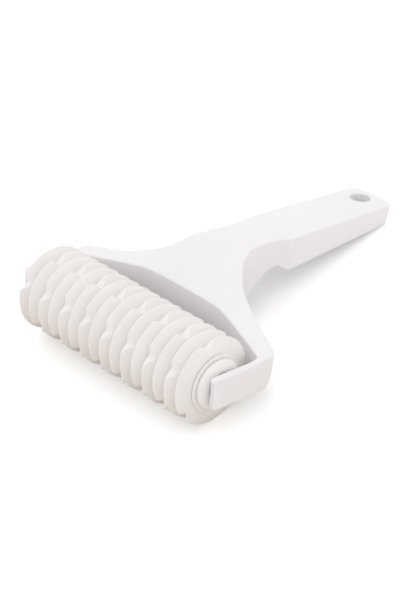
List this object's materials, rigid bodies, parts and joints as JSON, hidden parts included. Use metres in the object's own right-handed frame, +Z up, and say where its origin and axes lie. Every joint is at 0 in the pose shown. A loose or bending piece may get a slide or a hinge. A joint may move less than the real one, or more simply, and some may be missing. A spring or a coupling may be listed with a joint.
{
  "type": "lattice roller cutter",
  "caption": "Hand-held lattice roller cutter: a stack of notched plastic discs turns on a spindle between the arms of a one-piece paddle handle with a hanging hole.",
  "frame": {"origin": "on the plane that the roller and the handle's end foot stand on, under the middle of the bounding box", "axes": "+X along the roller's axis, +Y from the roller towards the handle's end, +Z up"},
  "size_m": [0.127, 0.1752, 0.04],
  "materials": {
    "frame_white": "satin white moulded plastic",
    "roller_ivory": "satin warm white moulded plastic",
    "spindle_white": "plain white moulded plastic rod",
    "bush_natural": "natural low friction plastic"
  },
  "bodies": {
    "frame": {"handle_frame": "frame_white", "journal_bush_left": "bush_natural", "journal_bush_right": "bush_natural"},
    "roller": {"spindle": "spindle_white", "end_collar_left": "roller_ivory", "end_collar_right": "roller_ivory", "cutter_disc_01": "roller_ivory", "cutter_disc_02": "roller_ivory", "cutter_disc_03": "roller_ivory", "cutter_disc_04": "roller_ivory", "cutter_disc_05": "roller_ivory", "cutter_disc_06": "roller_ivory", "cutter_disc_07": "roller_ivory", "cutter_disc_08": "roller_ivory", "cutter_disc_09": "roller_ivory", "cutter_disc_10": "roller_ivory", "cutter_disc_11": "roller_ivory", "cutter_disc_12": "roller_ivory", "cutter_disc_13": "roller_ivory", "cutter_disc_14": "roller_ivory", "cutter_disc_15": "roller_ivory", "cutter_disc_16": "roller_ivory"}
  },
  "joints": [
    {"name": "roller_spin", "type": "hinge", "parent": "frame", "child": "roller", "pos_m": [0, -0.0676, 0.02], "axis": [1, 0, 0], "continuous": true}
  ]
}
